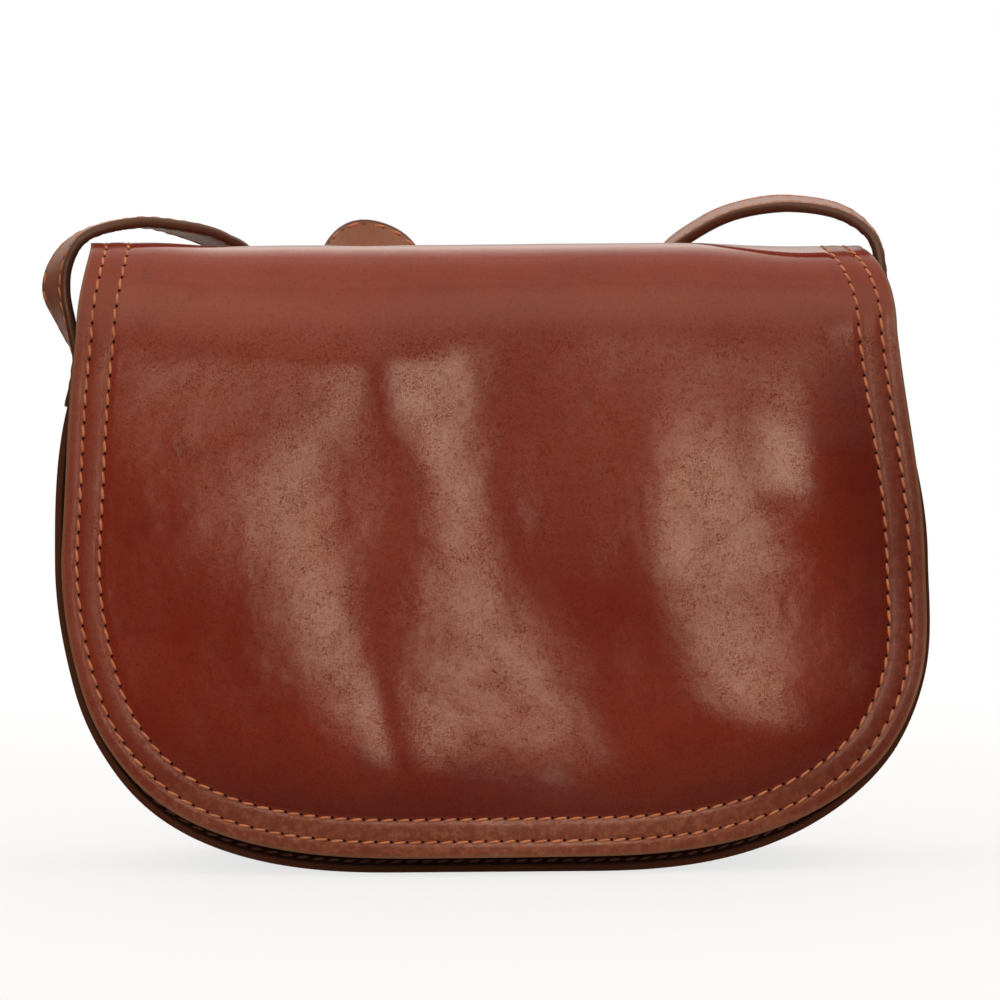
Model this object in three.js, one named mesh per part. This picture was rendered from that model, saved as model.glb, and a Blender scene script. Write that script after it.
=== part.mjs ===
// Hunting bag: a small shoulder bag of vegetable tanned leather with a full front flap.
// Millimetres, +Z up, the front faces -Y, and the origin is the middle of the flat base.
import * as THREE from 'three';

// Body: two panels, stuffed out a little, whose depth draws in towards the top
const widestHeight = 100;        // height at which body and flap are widest
const baseHalfFlat = 30;         // half of the straight stretch of the base
const baseDepth = 74;            // front to back at the base
const depthTaper = 30;           // how much less that is at taperHeight
const taperHeight = 200;
const depthPower = 1.2;
const panelThickness = 2;
const frontPanelTop = 158;
const backPanelTop = 171;
const frontPuff = 9;             // how far the stuffed front swells past its rim
const backPuff = 3;
const puffFullHeight = 78;       // the swell is full here, and halves between the next two heights
const puffFadeFrom = 90;
const puffFadeTo = 190;
const puffEdgePower = 1.5;       // how flat the swell starts from the rim
const bodyLean = -2;             // how far the top of the body leans, to the left
const bodyLeanFrom = 100;
const bodyLeanTo = 150;
const lowerSway = 2;             // how far the lower corners of body and flap sit to the right
const swayFrom = 8;
const swayFull = 40;
const swayFade = 60;
const swayEnd = 100;
const fitGap = 0.3;              // clearance between pieces that are sewn together

// Gusset: one strip round both sides and the base, with a lip turned in behind each panel
const gussetTop = 168;
const gussetThickness = 2;
const lipReach = 9;
const sideRecess = 1.2;          // how far its sides sit inside the panels' rims
const recessFrom = 5;            // the base has no recess, the sides have all of it
const recessFull = 60;
const sideDip = 4;               // how far the sides cave in half way up
const dipFrom = 10;
const dipTo = 145;

// Flap: from a seam on the back, over a round top, down the whole front
const flapThickness = 2.4;
const flapSeamHeight = 146;      // lower edge of its tail on the back
const rollHeight = 163;          // where the round top begins at the front
const rollPower = 3.6;           // how gently it begins there
const tailHeight = 172;          // where it ends at the back
const crestHeight = 201;
const crestLift = 1.4;           // the left end of the crest curls up
const crestLiftFull = -112;
const crestLiftEnd = -85;
const flapStandoff = 2.5;        // air between flap and front panel at their edges
const flapBelly = 11.5;          // how far the flap bulges past its sides
const bellyPower = 1.1;          // how flat the bulge starts from the sides
const bellyHang = 0.62;          // share of the bulge that is left at the lower edge
const bellyHeight = 90;          // the bulge is full from here up
const swellTop = 162;            // the swells fade out between these heights
const swellEnd = 192;
const swellSharpness = 1.5;
const tailHalfWidth = 121;
const crestHalfWidth = 125.5;
const crestShift = -4.2;         // the top of the flap sits askew, to the left
const shoulderShift = -1;        // its front does so less, and only in its upper half
const frontShift = 0.6;
const shiftFrom = 110;
const shiftTo = 165;

// Strap: one long band, both ends sewn to the sides of the gusset
const strapWidth = 16;
const strapThickness = 3.6;
const strapEdgeBevel = 0.8;

// Fineness of the meshes
const panelColumns = 22;
const panelRows = 16;
const cornerShare = 0.62;        // share of an outline's rows that go to its lower corners
const gussetSteps = 52;
const baseShare = 0.1;           // share of the gusset's steps that go to the straight base
const flapColumns = 28;
const tailRows = 3;
const rollRows = 10;
const frontRows = 20;
const strapStepsPerRow = 3;

// Outlines seen from the front: flat below, superelliptic corners, sides that draw in upwards
const bodyOutline = {
  low: 0, flat: baseHalfFlat, widest: 140, cornerX: 2.5, cornerZ: 2.7, taper: 25, taperPower: 2,
};
const bulgeOutline = { ...bodyOutline, taper: 13.3 };
const flapOutline = {
  low: 6, flat: 28, widest: 138.1, cornerX: 2.6, cornerZ: 2.8, taper: 10, taperPower: 1.3,
};

// Broad swells and hollows of the flap's front: centre, half size, lean in degrees and height
const flapSwells = [
  { x: -34, z: 49, halfX: 23, halfZ: 90, lean: 15, rise: 0.86 },
  { x: -32, z: 155, halfX: 23, halfZ: 61, lean: 20, rise: 1.1 },
  { x: -27, z: 29, halfX: 29, halfZ: 28, lean: -14, rise: 1.2 },
  { x: 29, z: 63, halfX: 31, halfZ: 47, lean: 4, rise: -2.14 },
  { x: 97, z: 132, halfX: 30, halfZ: 46, lean: 12, rise: 2.6 },
  { x: 56, z: 132, halfX: 22, halfZ: 38, lean: 1, rise: 1.22 },
  { x: -118, z: 70, halfX: 33, halfZ: 61, lean: -44, rise: -0.87 },
  { x: 97, z: 40, halfX: 36, halfZ: 24, lean: -26, rise: 1.55 },
  { x: 1, z: 101, halfX: 24, halfZ: 56, lean: 8, rise: -1.29 },
  { x: -46, z: 153, halfX: 48, halfZ: 24, lean: 40, rise: 0.98 },
  { x: 119, z: 93, halfX: 59, halfZ: 24, lean: -25, rise: -1.48 },
  { x: -76, z: 152, halfX: 59, halfZ: 80, lean: -19, rise: 1.56 },
  { x: -49, z: 177, halfX: 38, halfZ: 24, lean: -22, rise: 1.02 },
  { x: 130, z: 168, halfX: 22, halfZ: 24, lean: 5, rise: -0.41 },
  { x: -53, z: 54, halfX: 34, halfZ: 90, lean: 20, rise: 1.38 },
];

// Route of the strap's middle line, with the direction from its front edge to its back edge.
// It climbs off the left side, drops behind the bag to the ground, stands up once over the crest,
// drops to the ground again, and arches over to the right side.
const strapRoute = [
  { x: -137.1, y: 0, z: 149, edge: [0, 1, 0] },
  { x: -135.1, y: 0, z: 156.5, edge: [0, 1, 0] },
  { x: -134, y: 0, z: 164, edge: [0, 1, 0] },
  { x: -138, y: 0, z: 176.5, edge: [-0.3, 0.95, 0] },
  { x: -141.2, y: 0, z: 187.5, edge: [-0.52, 0.85, 0] },
  { x: -139.2, y: 0.5, z: 196.5, edge: [-0.42, 0.9, 0] },
  { x: -132.6, y: 1.2, z: 204.4, edge: [-0.2, 0.97, 0] },
  { x: -115, y: 6, z: 209, edge: [0, 1, 0] },
  { x: -101.5, y: 11, z: 207.2, edge: [0, 0.98, -0.15] },
  { x: -90, y: 18, z: 203.2, edge: [0.05, 0.95, -0.3] },
  { x: -80.5, y: 29, z: 195, edge: [0.05, 0.92, -0.35] },
  { x: -77, y: 38.5, z: 174, edge: [0, 1, -0.1] },
  { x: -81, y: 41.5, z: 125, edge: [0, 1, 0] },
  { x: -88, y: 45, z: 66, edge: [0, 1, 0] },
  { x: -88, y: 47, z: 22, edge: [0, 1, 0] },
  { x: -71, y: 48, z: 2.4, edge: [0, 1, 0] },
  { x: -54, y: 47, z: 22, edge: [0, 1, 0] },
  { x: -50, y: 45, z: 66, edge: [0, 1, 0] },
  { x: -52, y: 41.5, z: 125, edge: [0, 1, 0] },
  { x: -55, y: 38.5, z: 172, edge: [0, 1, 0.1] },
  { x: -53.5, y: 31, z: 194, edge: [-0.1, 0.7, 0.6] },
  { x: -44, y: 28.5, z: 202.3, edge: [0, 0.5, 0.87] },
  { x: -32, y: 29.5, z: 199.6, edge: [0.15, 0.55, 0.8] },
  { x: -20.5, y: 35, z: 186.5, edge: [0.1, 0.85, 0.4] },
  { x: -13, y: 39, z: 166, edge: [0, 1, 0.1] },
  { x: -5, y: 41.5, z: 122, edge: [0, 1, 0] },
  { x: 3, y: 45.5, z: 66, edge: [0, 1, 0] },
  { x: 7, y: 47, z: 22, edge: [0, 1, 0] },
  { x: 25, y: 48, z: 2.4, edge: [0, 1, 0] },
  { x: 43, y: 47, z: 22, edge: [0, 1, 0] },
  { x: 48, y: 45.5, z: 66, edge: [0, 1, 0] },
  { x: 49, y: 41.5, z: 125, edge: [0, 1, 0] },
  { x: 50.5, y: 39, z: 170, edge: [0, 1, 0.05] },
  { x: 56.5, y: 31, z: 195, edge: [0, 0.97, 0.15] },
  { x: 69.6, y: 21, z: 206.3, edge: [0, 0.98, 0.17] },
  { x: 82.6, y: 15, z: 211.8, edge: [0, 0.98, 0.17] },
  { x: 98.7, y: 9, z: 213.6, edge: [0, 0.98, 0.17] },
  { x: 115.7, y: 5, z: 210.2, edge: [0.05, 0.98, 0.15] },
  { x: 125.2, y: 2, z: 202, edge: [0.05, 0.99, 0.05] },
  { x: 127.8, y: 0.5, z: 190, edge: [0.05, 0.99, 0] },
  { x: 128.4, y: 0, z: 177, edge: [0.04, 1, 0] },
  { x: 129, y: 0, z: 164, edge: [0, 1, 0] },
  { x: 131.1, y: 0, z: 156.5, edge: [0, 1, 0] },
  { x: 133.1, y: 0, z: 149, edge: [0, 1, 0] },
];

// Leather: one finish, a shade for each piece
const leatherFinish = { roughness: 0.38, metalness: 0 };
const leatherShade = {
  back_panel: 0x6e2f20, front_panel: 0x6b2c1e, gusset: 0x5a2a1c, flap: 0x7c3323, strap: 0x7e4a33,
};

const { clamp, degToRad, lerp } = THREE.MathUtils;
const ease = (from, to, value) => THREE.MathUtils.smoothstep(value, from, to);

// Half width of an outline at a height
function halfWidth(outline, z) {
  if (z >= widestHeight) {
    return outline.widest - outline.taper * ((z - widestHeight) / widestHeight) ** outline.taperPower;
  }
  const drop = Math.min(1, (widestHeight - z) / (widestHeight - outline.low));
  const reach = (1 - drop ** outline.cornerZ) ** (1 / outline.cornerX);
  return outline.flat + (outline.widest - outline.flat) * reach;
}

// Height on an outline's side: share 0 is its lowest edge, cornerShare its widest height, 1 its top
function heightAt(outline, top, share) {
  if (share > cornerShare) {
    return lerp(widestHeight, top, (share - cornerShare) / (1 - cornerShare));
  }
  const turn = (share / cornerShare) * Math.PI / 2;
  const drop = Math.max(0, Math.cos(turn)) ** (2 / outline.cornerZ);
  return widestHeight - (widestHeight - outline.low) * drop;
}

function halfDepth(z) {
  return (baseDepth - depthTaper * (z / taperHeight) ** depthPower) / 2;
}

// The body's lower corners sit askew, and it leans over above its widest height
const sway = (z) => lowerSway * ease(swayFrom, swayFull, z) * (1 - ease(swayFade, swayEnd, z));
const bodyMiddle = (z) => bodyLean * ease(bodyLeanFrom, bodyLeanTo, z) + sway(z);

// Swell of the stuffed body: nothing at the rim, one in the middle of the lower half
function puff(x, z) {
  const across = Math.min(1, Math.abs(x - bodyMiddle(z)) / halfWidth(bodyOutline, z));
  const rise = ease(0, puffFullHeight, z) * (1 - ease(puffFadeFrom, puffFadeTo, z) / 2);
  return (1 - across ** 2) ** puffEdgePower * rise;
}

const frontPanelY = (x, z) => -halfDepth(z) - frontPuff * puff(x, z);
const backPanelY = (x, z) => halfDepth(z) + backPuff * puff(x, z);

// Closed geometry from vertices and the quads of its faces, wound outwards
function solidGeometry(points, quads) {
  const geometry = new THREE.BufferGeometry();
  const index = [];
  for (const [a, b, c, d] of quads) {
    index.push(a, b, c, a, c, d);
  }
  geometry.setAttribute('position', new THREE.Float32BufferAttribute(points.flat(), 3));
  geometry.setIndex(index);
  geometry.computeVertexNormals();
  return geometry;
}

// Leather wall: pointAt(u, v, depth) gives its outer face at depth 0 and its inner face at thickness
function wallGeometry(pointAt, columns, rows, thickness) {
  const points = [];
  const quads = [];
  const side = (columns + 1) * (rows + 1);
  const at = (i, j, face) => face * side + j * (columns + 1) + i;
  for (const depth of [0, thickness]) {
    for (let j = 0; j <= rows; j += 1) {
      for (let i = 0; i <= columns; i += 1) {
        points.push(pointAt(i / columns, j / rows, depth));
      }
    }
  }
  for (let j = 0; j < rows; j += 1) {
    for (let i = 0; i < columns; i += 1) {
      quads.push([at(i, j, 0), at(i + 1, j, 0), at(i + 1, j + 1, 0), at(i, j + 1, 0)]);
      quads.push([at(i, j, 1), at(i, j + 1, 1), at(i + 1, j + 1, 1), at(i + 1, j, 1)]);
    }
    quads.push([at(0, j, 0), at(0, j + 1, 0), at(0, j + 1, 1), at(0, j, 1)]);
    quads.push([at(columns, j, 0), at(columns, j, 1), at(columns, j + 1, 1), at(columns, j + 1, 0)]);
  }
  for (let i = 0; i < columns; i += 1) {
    quads.push([at(i, 0, 0), at(i, 0, 1), at(i + 1, 0, 1), at(i + 1, 0, 0)]);
    quads.push([at(i, rows, 0), at(i + 1, rows, 0), at(i + 1, rows, 1), at(i, rows, 1)]);
  }
  return solidGeometry(points, quads);
}

// Band: rings of equal count, joined in order and capped at both ends
function bandGeometry(rings, capQuads) {
  const count = rings[0].length;
  const quads = [];
  for (let j = 0; j < rings.length - 1; j += 1) {
    const low = j * count;
    const high = low + count;
    for (let i = 0; i < count; i += 1) {
      const next = (i + 1) % count;
      quads.push([low + i, low + next, high + next, high + i]);
    }
  }
  const last = (rings.length - 1) * count;
  for (const [a, b, c, d] of capQuads) {
    quads.push([d, c, b, a]);
    quads.push([last + a, last + b, last + c, last + d]);
  }
  return solidGeometry(rings.flat(), quads);
}

// Panel: facing is 1 for the front and -1 for the back
function panelGeometry(surfaceY, top, facing) {
  return wallGeometry((u, v, depth) => {
    const z = heightAt(bodyOutline, top, v);
    const x = bodyMiddle(z) + facing * (2 * u - 1) * halfWidth(bodyOutline, z);
    return [x, surfaceY(x, z) + facing * depth, z];
  }, panelColumns, panelRows, panelThickness);
}

// Point of the body's rim: -1 is the left top of the gusset, 0 the middle of the base, 1 the right top
function bodyRim(along) {
  const share = Math.abs(along);
  if (share < baseShare) {
    return new THREE.Vector2((along / baseShare) * baseHalfFlat, 0);
  }
  const z = heightAt(bodyOutline, gussetTop, (share - baseShare) / (1 - baseShare));
  return new THREE.Vector2(bodyMiddle(z) + Math.sign(along) * halfWidth(bodyOutline, z), z);
}

// Section of the gusset: inset from the rim, share of the half depth, layers in from the lip's face
function gussetSection(rimHeight) {
  const recess = sideRecess * ease(recessFrom, recessFull, rimHeight);
  const climb = clamp((rimHeight - dipFrom) / (dipTo - dipFrom), 0, 1);
  const dip = sideDip * Math.sin(Math.PI * climb) ** 2;
  const web = (layer, share) => recess + layer * gussetThickness + dip * (1 - share ** 2);
  return [
    [web(0, 1), -1, 0], [web(0, 0.5), -0.5, 0], [web(0, 0), 0, 0], [web(0, 0.5), 0.5, 0], [web(0, 1), 1, 0],
    [lipReach, 1, 0], [lipReach, 1, 1],
    [web(1, 1), 1, 1], [web(1, 0.5), 0.5, 0], [web(1, 0), 0, 0], [web(1, 0.5), -0.5, 0], [web(1, 1), -1, 1],
    [lipReach, -1, 1], [lipReach, -1, 0],
  ];
}

function gussetGeometry() {
  const step = 2 / gussetSteps;
  const rings = [];
  for (let j = 0; j <= gussetSteps; j += 1) {
    const along = -1 + j * step;
    const rim = bodyRim(along);
    const ahead = bodyRim(Math.min(1, along + step / 4));
    const behind = bodyRim(Math.max(-1, along - step / 4));
    const run = ahead.sub(behind).normalize();
    rings.push(gussetSection(rim.y).map(([inset, share, layers]) => {
      const z = rim.y + inset * run.x;
      const lip = halfDepth(z) - panelThickness - fitGap - layers * gussetThickness;
      return [rim.x - inset * run.y, share * lip, z];
    }));
  }
  const caps = [[0, 11, 12, 13], [0, 1, 10, 11], [1, 2, 9, 10], [2, 3, 8, 9], [3, 4, 7, 8], [4, 5, 6, 7]];
  return bandGeometry(rings, caps);
}

const flapTailY = (x, z) => backPanelY(x, z) + fitGap + flapThickness;
const flapMiddle = (z) => lerp(frontShift, shoulderShift, ease(shiftFrom, shiftTo, z)) + sway(z);

// Front of the flap: its bulge, which its lower edge keeps most of, and the swells on it
function flapFrontY(x, z) {
  const across = Math.min(1, Math.abs(x) / halfWidth(bulgeOutline, z));
  const lack = Math.max(0, 1 - z / bellyHeight);
  const rise = (1 - (1 - bellyHang) * lack ** 2) * (1 - ease(puffFadeFrom, puffFadeTo, z) / 2);
  return -halfDepth(z) - flapStandoff - flapThickness - flapBelly * (1 - across ** 2) ** bellyPower * rise;
}

function flapSwell(x, z) {
  let sum = 0;
  for (const swell of flapSwells) {
    const cos = Math.cos(degToRad(swell.lean));
    const sin = Math.sin(degToRad(swell.lean));
    const across = (cos * (x - swell.x) + sin * (z - swell.z)) / swell.halfX;
    const up = (cos * (z - swell.z) - sin * (x - swell.x)) / swell.halfZ;
    sum += swell.rise * Math.exp(-swellSharpness * (across ** 2 + up ** 2));
  }
  return sum * (1 - ease(swellTop, swellEnd, z));
}

// Round top of the flap: share 0 is its start on the back, 0.5 the crest, 1 its end at the front.
// It goes on from the slopes of the tail and of the front.
function flapRollPoint(side, share, depth) {
  const turn = share * Math.PI;
  const climb = Math.sin(turn);
  const toFront = share > 0.5;
  const low = toFront ? rollHeight : tailHeight;
  const level = lerp(low, crestHeight, climb);
  const shoulder = Math.min(level, tailHeight);
  const neck = clamp((level - tailHeight) / (crestHeight - tailHeight), 0, 1);
  const half = toFront
    ? lerp(halfWidth(flapOutline, shoulder), crestHalfWidth, neck ** 2)
    : lerp(tailHalfWidth, crestHalfWidth, ease(-1, 0, -Math.cos(turn)));
  const askew = toFront ? Math.sqrt(1 - neck ** 4) : 0;
  const x = lerp(crestShift, flapMiddle(shoulder), askew) + side * half;
  const curl = crestLift * (1 - ease(crestLiftFull, crestLiftEnd, x));
  const z = low + (crestHeight + curl - low - depth) * climb;
  const back = flapTailY(x, tailHeight);
  const front = flapFrontY(x, rollHeight);
  const slope = toFront ? front - flapFrontY(x, low - 1) : back - flapTailY(x, low - 1);
  const swell = toFront ? flapSwell(x, z) : 0;
  const bow = toFront ? -Math.sqrt(1 - climb ** rollPower) : Math.cos(turn);
  const arch = (back + front) / 2 + ((back - front) / 2 - depth) * bow;
  return [x, arch + slope * (z - low) * bow ** 2 - swell, z];
}

// Flap: v runs from its seam on the back, over the crest, to its lower edge
function flapPoint(u, v, depth) {
  const row = v * (tailRows + rollRows + frontRows);
  const side = 1 - 2 * u;
  if (row < tailRows) {
    const z = lerp(flapSeamHeight, tailHeight, row / tailRows);
    const x = crestShift + side * tailHalfWidth;
    return [x, flapTailY(x, z) - depth, z];
  }
  if (row < tailRows + rollRows) {
    return flapRollPoint(side, (row - tailRows) / rollRows, depth);
  }
  const z = heightAt(flapOutline, rollHeight, 1 - (row - tailRows - rollRows) / frontRows);
  const x = flapMiddle(z) + side * halfWidth(flapOutline, z);
  return [x, flapFrontY(x, z) - flapSwell(x, z) + depth, z];
}

function flapGeometry() {
  return wallGeometry(flapPoint, flapColumns, tailRows + rollRows + frontRows, flapThickness);
}

function strapGeometry() {
  const line = new THREE.CatmullRomCurve3(strapRoute.map((row) => new THREE.Vector3(row.x, row.y, row.z)));
  const edges = new THREE.CatmullRomCurve3(strapRoute.map((row) => new THREE.Vector3(...row.edge)));
  const w = strapWidth / 2;
  const t = strapThickness / 2;
  const b = strapEdgeBevel;
  const section = [
    [-w, b - t], [b - w, -t], [w - b, -t], [w, b - t], [w, t - b], [w - b, t], [b - w, t], [-w, t - b],
  ];
  const steps = (strapRoute.length - 1) * strapStepsPerRow;
  const rings = [];
  for (let j = 0; j <= steps; j += 1) {
    const middle = line.getPoint(j / steps);
    const run = line.getTangent(j / steps);
    const edge = edges.getPoint(j / steps);
    edge.addScaledVector(run, -edge.dot(run)).normalize();
    const face = new THREE.Vector3().crossVectors(run, edge);
    rings.push(section.map(([across, out]) => (
      middle.clone().addScaledVector(edge, across).addScaledVector(face, out).toArray()
    )));
  }
  return bandGeometry(rings, [[0, 1, 6, 7], [1, 2, 5, 6], [2, 3, 4, 5]]);
}

function leatherPiece(name, geometry) {
  const material = new THREE.MeshStandardMaterial({ ...leatherFinish, color: leatherShade[name] });
  const mesh = new THREE.Mesh(geometry, material);
  mesh.name = name;
  return mesh;
}

const body = new THREE.Group();
body.add(leatherPiece('back_panel', panelGeometry(backPanelY, backPanelTop, -1)));
body.add(leatherPiece('front_panel', panelGeometry(frontPanelY, frontPanelTop, 1)));
body.add(leatherPiece('gusset', gussetGeometry()));

const bag = new THREE.Group();
bag.add(body);
bag.add(leatherPiece('flap', flapGeometry()));
bag.add(leatherPiece('strap', strapGeometry()));

export default bag;
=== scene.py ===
import bisect
import math

import bmesh
import bpy
from mathutils import Matrix, Vector, kdtree, noise


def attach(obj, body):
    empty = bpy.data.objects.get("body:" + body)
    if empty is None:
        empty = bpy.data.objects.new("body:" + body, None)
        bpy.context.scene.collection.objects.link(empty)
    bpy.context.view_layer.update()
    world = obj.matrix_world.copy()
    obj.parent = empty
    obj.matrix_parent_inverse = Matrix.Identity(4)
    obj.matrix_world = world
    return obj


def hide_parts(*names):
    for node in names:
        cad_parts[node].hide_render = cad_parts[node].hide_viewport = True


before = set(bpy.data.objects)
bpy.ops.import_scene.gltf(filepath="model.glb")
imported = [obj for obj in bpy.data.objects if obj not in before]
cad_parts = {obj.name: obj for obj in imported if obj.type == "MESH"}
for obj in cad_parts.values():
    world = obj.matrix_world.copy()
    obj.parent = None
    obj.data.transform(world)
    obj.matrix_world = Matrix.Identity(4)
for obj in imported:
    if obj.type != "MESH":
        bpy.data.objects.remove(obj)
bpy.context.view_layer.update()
print("frame loaded with", ", ".join(sorted(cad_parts)))

# Pieces are worked out in millimetres; camera, finishes, floor and light are in metres
toMetres = 0.001
stitchPitch = 5.0  # from hole to hole

# Camera
viewpoint = dict(aim=(0.0029, -0.033, 0.119), distance=1.6, elevation=2.5, roll=-0.45,
                 lens=180, sensor=36, farClip=30)


def setCamera():
    data = bpy.data.cameras.new("viewpoint")
    data.lens, data.sensor_width = viewpoint["lens"], viewpoint["sensor"]
    data.clip_end = viewpoint["farClip"]
    camera = bpy.data.objects.new("viewpoint", data)
    bpy.context.scene.collection.objects.link(camera)
    tilt = math.radians(viewpoint["elevation"])
    back = Vector((0, -math.cos(tilt), math.sin(tilt))) * viewpoint["distance"]
    place = Matrix.Translation(Vector(viewpoint["aim"]) + back)
    facing = Matrix.Rotation(math.radians(90) - tilt, 4, "X")
    camera.matrix_world = place @ facing @ Matrix.Rotation(math.radians(viewpoint["roll"]), 4, "Z")
    bpy.context.scene.camera = camera


setCamera()
print("camera set")


# Shader sums
class Wire:  # a node's output, which takes part in plain arithmetic
    def __init__(self, finish, socket):
        self.finish, self.socket = finish, socket

    def maths(self, operation, *values):
        return self.finish.node("ShaderNodeMath", {"operation": operation}, dict(enumerate(values)))

    def __add__(self, other):
        return self.maths("ADD", self, other)

    def __sub__(self, other):
        return self.maths("SUBTRACT", self, other)

    def __rsub__(self, other):
        return self.maths("SUBTRACT", other, self)

    def __mul__(self, other):
        return self.maths("MULTIPLY", self, other)

    def __truediv__(self, other):
        return self.maths("DIVIDE", self, other)

    def __rtruediv__(self, other):
        return self.maths("DIVIDE", other, self)

    def fract(self):
        return self.maths("FRACT", self)

    __radd__, __rmul__ = __add__, __mul__


class Finish:  # a material or a world, and the nodes that make it
    def __init__(self, owner, shader="Principled BSDF"):
        owner.use_nodes = True
        self.owner, self.tree = owner, owner.node_tree
        self.shader = self.tree.nodes[shader]

    def node(self, kind, settings, sockets, output=0):
        made = self.tree.nodes.new(kind)
        for key, value in settings.items():
            setattr(made, key, value)
        for key, value in sockets.items():
            self.feed(made.inputs[key], value)
        return Wire(self, made.outputs[output])

    def feed(self, socket, value):
        if isinstance(value, Wire):
            self.tree.links.new(value.socket, socket)
        else:
            socket.default_value = value

    def shade(self, **sockets):
        for key, value in sockets.items():
            self.feed(self.shader.inputs[key.replace("_", " ")], value)

    def cover(self, share, sockets):  # a second shader over the first
        over = self.node("ShaderNodeBsdfPrincipled", {}, sockets)
        under = Wire(self, self.shader.outputs[0])
        both = self.node("ShaderNodeMixShader", {}, {0: share, 1: under, 2: over})
        self.feed(self.tree.nodes["Material Output"].inputs["Surface"], both)

    def mix(self, factor, first, second):
        settings = {"data_type": "RGBA", "blend_type": "MIX", "clamp_factor": True}
        return self.node("ShaderNodeMix", settings, {0: factor, 6: first, 7: second}, 2)

    def place(self):
        return self.node("ShaderNodeTexCoord", {}, {}, "Object")

    def part(self, vector, axis):
        return self.node("ShaderNodeSeparateXYZ", {}, {"Vector": vector}, axis)

    def cloud(self, place, scale, detail=3.0, rough=0.5, twist=0.0):
        sockets = {"Vector": place, "Scale": scale, "Detail": detail}
        sockets |= {"Roughness": rough, "Distortion": twist}
        return self.node("ShaderNodeTexNoise", {}, sockets, "Fac")

    def ramp(self, value, low, high, start=0.0, end=1.0):
        sockets = {"Value": value, "From Min": low, "From Max": high, "To Min": start, "To Max": end}
        return self.node("ShaderNodeMapRange", {"interpolation_type": "SMOOTHSTEP"}, sockets)

    def bump(self, height, rise=1.0):
        return self.node("ShaderNodeBump", {}, {"Height": height, "Distance": rise, "Strength": 1.0})

    def mark(self, name):
        return self.node("ShaderNodeAttribute", {"attribute_name": name}, {}, "Fac")


def rgb(red, green, blue):
    return (red, green, blue, 1.0)


# Leather: colours are linear, distances from an edge are in millimetres
# The flap's edge colour is a tan painted sheen along its rounded edge
flapLook = dict(
    deep=rgb(0.234, 0.0188, 0.008), warm=rgb(0.296, 0.035, 0.015), dark=rgb(0.10, 0.0095, 0.005),
    edge=rgb(0.24, 0.115, 0.06), edgeReach=1.5, pale=rgb(0.25, 0.058, 0.03), worn=rgb(0.44, 0.135, 0.075),
    gloss=0.08, shine=0.76, haze=0.14, lowerRightDark=0.65,
    border=12.6, rows=(("outerRow", 5.0), ("innerRow", 12.2)), holes=1.0)
bodyLook = dict(
    flapLook, deep=rgb(0.15, 0.024, 0.012), warm=rgb(0.22, 0.05, 0.026),
    border=4.6, rows=(("outerRow", 3.6),))
# Front panel: painted shade. Its leather is coloured near black, with little sheen, to stand for the flap's
# shadow over it; its edge band is coloured less dark, a painted lit rim
frontShadeLook = dict(
    bodyLook, deep=rgb(0.012, 0.0025, 0.0015), warm=rgb(0.02, 0.004, 0.002), dark=rgb(0.008, 0.002, 0.001),
    edge=rgb(0.12, 0.036, 0.018), edgeReach=2.7, pale=rgb(0.02, 0.004, 0.002), worn=rgb(0.02, 0.004, 0.002),
    gloss=0.5, shine=0.2, haze=0)
gussetLook = dict(
    flapLook, deep=rgb(0.12, 0.026, 0.014), warm=rgb(0.19, 0.055, 0.03),
    gloss=0.42, haze=0, lowerRightDark=0, border=0, rows=())
strapLook = dict(
    flapLook, deep=rgb(0.25, 0.070, 0.034), warm=rgb(0.33, 0.112, 0.058), dark=rgb(0.12, 0.03, 0.015),
    edge=rgb(0.055, 0.018, 0.009), gloss=0.36, haze=0, lowerRightDark=0,
    border=0, rows=(("outerRow", 2.2),), holes=0.4)
hideClouds = dict(  # size per metre, detail, roughness and twist
    broad=(17, 2.0), patchy=(85, 4.0, 0.6), speck=(1100, 2.0, 0.6), grain=(1500, 1.0, 0.5, 0.4),
    wave=(80, 2.0), bend=(60, 3.0, 0.55, 1.2), mottle=(380, 4.0, 0.7))
hideRamps = dict(  # where each begins and ends, heights in metres, and its values there
    valley=(0.01, 0.2, 1.0, 0.0), valleyPatch=(0.3, 0.65, 0.5, 1.0), smooth=(0.168, 0.182, 1.0, 0.15),
    crease=(0.0, 0.0003, 1.0, 0.0), creasePatch=(0.5, 0.62), warm=(0.36, 0.66),
    darkPatch=(0.54, 0.78, 0.0, 0.35), darkSpeck=(0.50, 0.72, 0.0, 0.3), dullSpeck=(0.45, 0.7, 0.0, 0.35),
    lowerRightDarkHeight=(0.14, 0.18, 1.0, 0.0), lowerRightDarkSlant=(-0.22, -0.07),
    mottle=(0.42, 0.66), wornHeight=(0.012, 0.034, 1.0, 0.0), sideHeight=(0.03, 0.07))
hidePebble = 1700  # cells a metre
hideRelief = dict(wave=0.00015, grain=0.000008, crease=0.000002, valley=0.000003, hole=0.0003)  # in metres
hideShares = dict(broad=0.6, patchy=0.4, valleyDark=0.25, valleyDull=0.95, edgeDyeAndSheen=0.75, pale=(0.2, 0.5),
                  worn=(0.3, 0.4), sides=(0.2, 0.25))  # the pairs are the least, and what the mottling adds
hideRough = dict(spread=0.05, valley=0.06, border=0.16, hole=0.8, haze=0.3, dull=0.9)
hideReach = dict(lowerRightDarkFrom=20.0, lowerRightDarkTo=50.0, lowerRightDarkPatch=16, lowerRightDarkSlope=1.2,
                 border=1.5, edgeDyeAndSheen=1.15)
hideTint = rgb(1, 0.78, 0.62)  # of the shine
# The stitch holes are only painted: their dark colour is painted shade inside each hole
stitchHole = dict(halfLong=0.58, halfWide=0.5, shift=0.2, core=0.35, rim=1.1,
                  colour=rgb(0.045, 0.01, 0.005))


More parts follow.
